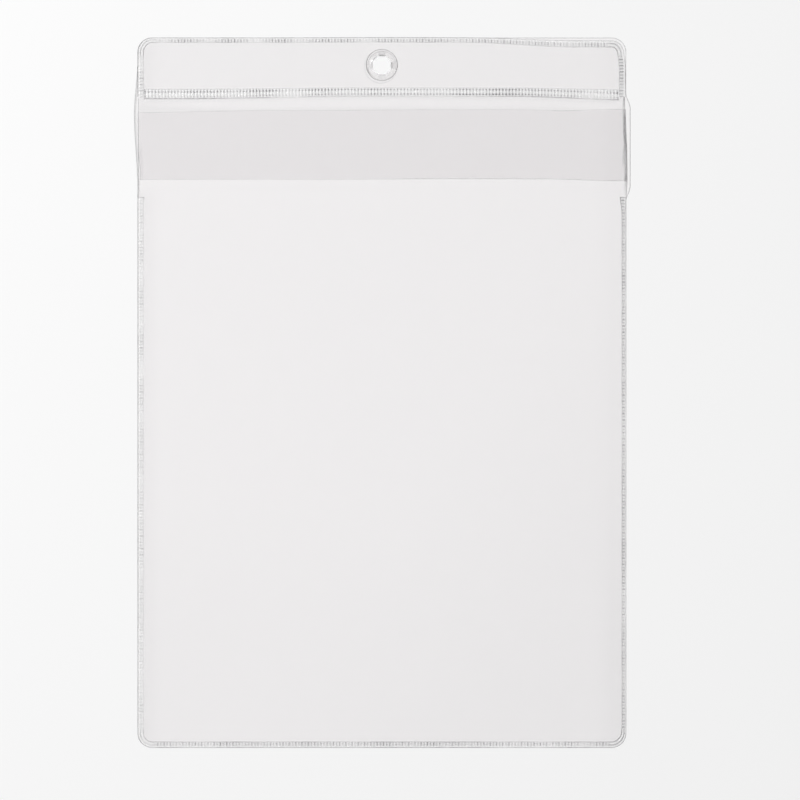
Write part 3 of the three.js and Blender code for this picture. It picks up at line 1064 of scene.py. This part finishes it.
eyelet = {
    "turnSteps": 96,
    "clearance": 0.03 * mm,     # keeps clear faces from lying in one plane
    "flatStart": 0.04 * mm,     # keeps the flats flat beside their rounded edges
    "boreRadius": 4.0 * mm,
    "boreChamfer": 0.12 * mm,
    "backRadius": 6.9 * mm,
    "backRound": 0.3 * mm,
    "backThickness": 0.7 * mm,
    "flangeRadius": 7.7 * mm,
    "flangeRound": 0.6 * mm,
    "flangeDraft": 0.1 * mm,    # its side leans in by this towards the seat
    "mouthRadius": 5.5 * mm,
    "mouthRound": 0.35 * mm,
    "throatDepth": 2.2 * mm,
    "throatSteps": 8,
    "throatPower": 1.3,         # its funnel is curved
    "throatSides": 8,
    "sideBlend": (0.05 * mm, 0.6 * mm),     # the flats start this far inside the mouth, and are full there
    "sideOut": 1.05,            # how far out the flats are, as a share of an octagon inside the round
    "lineWidth": 0.3 * mm,
    "lineLow": (0.05 * mm, 0.4 * mm),       # the rim's starts this far above the seat, the throat's below
    "lineGrey": 0.62,
    "lineUneven": 0.2,
    "throatGreys": ((0, 0.24), (2, 0.2), (3, 0.06), (4, 0.16), (6, 0.1)),   # painted shade by side, from +X round
    "throatGreyAngles": (0.28, 0.36),       # full and none, in radians from the side's middle
}
washer = {
    "barrelPlay": 0.9 * mm,
    "round": 0.2 * mm,
    "lineGrey": 0.3,
}


def arcPoints(centreR, centreZ, radius, start, finish, steps):
    points = []
    for step in range(steps + 1):
        angle = start + (finish - start) * step / steps
        points.append((centreR + radius * math.cos(angle), centreZ + radius * math.sin(angle)))
    return points


def turnSection(points, steps):
    mesh = bmesh.new()
    mesh.verts.layers.float.new("rimAndThroatShade")
    verts = [mesh.verts.new((r, 0, z)) for r, z in points]
    edges = [mesh.edges.new((a, b)) for a, b in zip(verts, verts[1:] + verts[:1])]
    bmesh.ops.spin(mesh, geom=verts + edges, cent=(0, 0, 0), axis=(0, 0, 1), angle=math.tau, steps=steps,
                   use_merge=True)
    return mesh


def eyeletSection(seat, topZ):
    # from the bore's back edge round the back lip, the barrel, the flange and the throat
    quarter = math.pi / 2
    flat = eyelet["flatStart"]
    bore, chamfer = eyelet["boreRadius"], eyelet["boreChamfer"]
    back, backRound, backTop = eyelet["backRadius"], eyelet["backRound"], eyelet["backThickness"]
    flange, flangeRound = eyelet["flangeRadius"], eyelet["flangeRound"]
    top, topRound = eyelet["mouthRadius"], eyelet["mouthRound"]
    points = [(bore, chamfer), (bore + chamfer, 0), (back - backRound - flat, 0)]
    points += arcPoints(back - backRound, backRound, backRound, -quarter, 0, 4)
    points += [(back, backTop), (barrelRadius, backTop), (barrelRadius, seat)]
    points += [(flange - eyelet["flangeDraft"], seat)]
    points += arcPoints(flange - flangeRound, topZ - flangeRound, flangeRound, 0, quarter, 6)
    points += [(flange - flangeRound - flat, topZ), (top + topRound + flat, topZ)]
    points += arcPoints(top + topRound, topZ - topRound, topRound, quarter, math.pi, 5)
    for step in range(eyelet["throatSteps"]):
        share = (step + 1) / eyelet["throatSteps"]
        r = top + (bore - top) * (1 - (1 - share) ** eyelet["throatPower"])
        points.append((r, topZ - topRound - (eyelet["throatDepth"] - topRound) * share))
    return points


def facetThroat(mesh):
    # the throat's walls are flats, one to each side of an octagon
    side = math.tau / eyelet["throatSides"]
    start, full = eyelet["sideBlend"]
    for vert in mesh.verts:
        r = math.hypot(vert.co.x, vert.co.y)
        if r > eyelet["mouthRadius"] - start:
            continue
        angle = (math.atan2(vert.co.y, vert.co.x) + side / 2) % side - side / 2
        share = smooth((eyelet["mouthRadius"] - r) / full)
        stretch = 1 + share * (math.cos(side / 2) / math.cos(angle) * eyelet["sideOut"] - 1)
        vert.co.x *= stretch
        vert.co.y *= stretch


def markRimAndThroatShade(mesh, seat):
    # painted shade: a grey line round the flange's rim and grey patches on some of the throat's flats
    mark = mesh.verts.layers.float["rimAndThroatShade"]
    rimLow, throatLow = eyelet["lineLow"]
    uneven = eyelet["lineUneven"]
    side = math.tau / eyelet["throatSides"]
    full, none = eyelet["throatGreyAngles"]
    for vert in mesh.verts:
        r = math.hypot(vert.co.x, vert.co.y)
        angle = math.atan2(vert.co.y, vert.co.x)
        if r > eyelet["flangeRadius"] - eyelet["lineWidth"] and vert.co.z > seat + rimLow:
            vert[mark] = eyelet["lineGrey"] * (1 - uneven + uneven * math.cos(2 * angle))
        if r < eyelet["mouthRadius"] - eyelet["lineWidth"] and vert.co.z > seat - throatLow:
            for number, grey in eyelet["throatGreys"]:
                away = abs((angle - number * side + math.pi) % math.tau - math.pi)
                vert[mark] = max(vert[mark], grey * smooth((none - away) / (none - full)))


def makeEyelet():
    seat = headerHigh.z + eyelet["clearance"]
    mesh = turnSection(eyeletSection(seat, eyeletHigh.z), eyelet["turnSteps"])
    facetThroat(mesh)
    markRimAndThroatShade(mesh, seat)
    bmesh.ops.translate(mesh, vec=(eyeletCentre.x, eyeletCentre.y, 0), verts=mesh.verts)
    return finishPiece(mesh, "eyeletMoulding", "pouch", mouldedMaterial, ["eyelet"],
                       sharpAngle=30)


def makeWasher():
    inner = barrelRadius + washer["barrelPlay"]
    outer = (washerHigh.x - washerLow.x) / 2
    low, high = washerLow.z + eyelet["clearance"], washerHigh.z - eyelet["clearance"]
    soft = washer["round"]
    quarter = math.pi / 2
    points = arcPoints(inner + soft, low + soft, soft, math.pi, math.pi * 1.5, 3)
    points += arcPoints(outer - soft, low + soft, soft, -quarter, 0, 3)
    points += arcPoints(outer - soft, high - soft, soft, 0, quarter, 3)
    points += arcPoints(inner + soft, high - soft, soft, quarter, math.pi, 3)
    mesh = turnSection(points, eyelet["turnSteps"])
    # painted shade round its outer rim
    mark = mesh.verts.layers.float["rimAndThroatShade"]
    for vert in mesh.verts:
        if math.hypot(vert.co.x, vert.co.y) > outer - 0.5 * soft:
            vert[mark] = washer["lineGrey"]
    bmesh.ops.translate(mesh, vec=(washerCentre.x, washerCentre.y, 0), verts=mesh.verts)
    return finishPiece(mesh, "washerRing", "pouch", mouldedMaterial, ["eyelet_washer"])


makeEyelet()
makeWasher()
print("eyelet and washer made")


# Table, light and camera

studio = {
    "viewWidth": 386.7 * mm,    # what the picture takes in, across
    "viewCentre": (8.73 * mm, -3.54 * mm),
    "cameraHeight": 1.3,
    "sensor": 36,
    "keyPlace": (-1.1, 0.7, 1.1),
    "keySize": 0.9,
    "keyPower": 8.5,
    "tableRadius": 6,
    "tableDrop": 0.05 * mm,     # keeps the table clear of the eyelet's back
    "tableColour": "#f8f8f8",
    "tableRoughness": 0.9,
    # what the sky gives, by the sine of its height
    "sky": ((0.0, "#f0f0f0"), (0.1, "#e8e8e8"), (0.16, "#8c8c8c"), (0.34, "#8c8c8c"), (0.5, "#ffffff"),
            (0.8, "#ffffff"), (0.93, "#b1b1b1")),
    "skyStrength": 1.09,
}


def whiteTable():
    # White painted board, with no shine of its own.
    material, tree = newMaterial("whitePaintedTable")
    surface = addNode(tree, "ShaderNodeBsdfPrincipled", None,
                      {"Base Color": linear(studio["tableColour"]), "Roughness": studio["tableRoughness"],
                       "Specular IOR Level": 0.0})
    addNode(tree, "ShaderNodeOutputMaterial", links={"Surface": surface.outputs[0]})
    return material


def makeTable():
    mesh = bmesh.new()
    bmesh.ops.create_circle(mesh, cap_ends=True, radius=studio["tableRadius"], segments=96,
                            matrix=Matrix.Translation((0, 0, -studio["tableDrop"])))
    data = bpy.data.meshes.new("table")
    mesh.to_mesh(data)
    mesh.free()
    table = bpy.data.objects.new("table", data)
    table.data.materials.append(whiteTable())
    bpy.context.collection.objects.link(table)


def makeKeyLamp():
    data = bpy.data.lights.new("keySoftbox", "AREA")
    data.shape = "RECTANGLE"
    data.size = studio["keySize"]
    data.size_y = studio["keySize"]
    data.energy = studio["keyPower"]
    lamp = bpy.data.objects.new("keySoftbox", data)
    lamp.location = studio["keyPlace"]
    lamp.rotation_euler = (-Vector(studio["keyPlace"])).to_track_quat("-Z", "Y").to_euler()
    bpy.context.collection.objects.link(lamp)


def makeWorld():
    world = bpy.data.worlds.new("studio")
    bpy.context.scene.world = world
    world.use_nodes = True
    tree = world.node_tree
    tree.nodes.clear()
    place = addNode(tree, "ShaderNodeTexCoord").outputs["Generated"]
    split = addNode(tree, "ShaderNodeSeparateXYZ", links={"Vector": place})
    ramp = addNode(tree, "ShaderNodeValToRGB", links={"Fac": split.outputs["Z"]})
    stops = ramp.color_ramp.elements
    while len(stops) < len(studio["sky"]):
        stops.new(0.5)
    for stop, (height, colour) in zip(stops, studio["sky"]):
        stop.position = height
        stop.color = linear(colour)
    back = addNode(tree, "ShaderNodeBackground", None, {"Strength": studio["skyStrength"]},
                   {"Color": ramp.outputs[0]})
    addNode(tree, "ShaderNodeOutputWorld", links={"Surface": back.outputs[0]})


def makeCamera():
    data = bpy.data.cameras.new("camera")
    data.sensor_width = studio["sensor"]
    data.lens = studio["sensor"] * studio["cameraHeight"] / studio["viewWidth"]
    camera = bpy.data.objects.new("camera", data)
    camera.location = (*studio["viewCentre"], studio["cameraHeight"])
    bpy.context.collection.objects.link(camera)
    bpy.context.scene.camera = camera


makeTable()
makeKeyLamp()
makeWorld()
makeCamera()

scene = bpy.context.scene
scene.view_settings.view_transform = "Standard"
scene.cycles.transparent_max_bounces = 64
scene.cycles.max_bounces = 24
scene.cycles.transmission_bounces = 16
print("studio made")
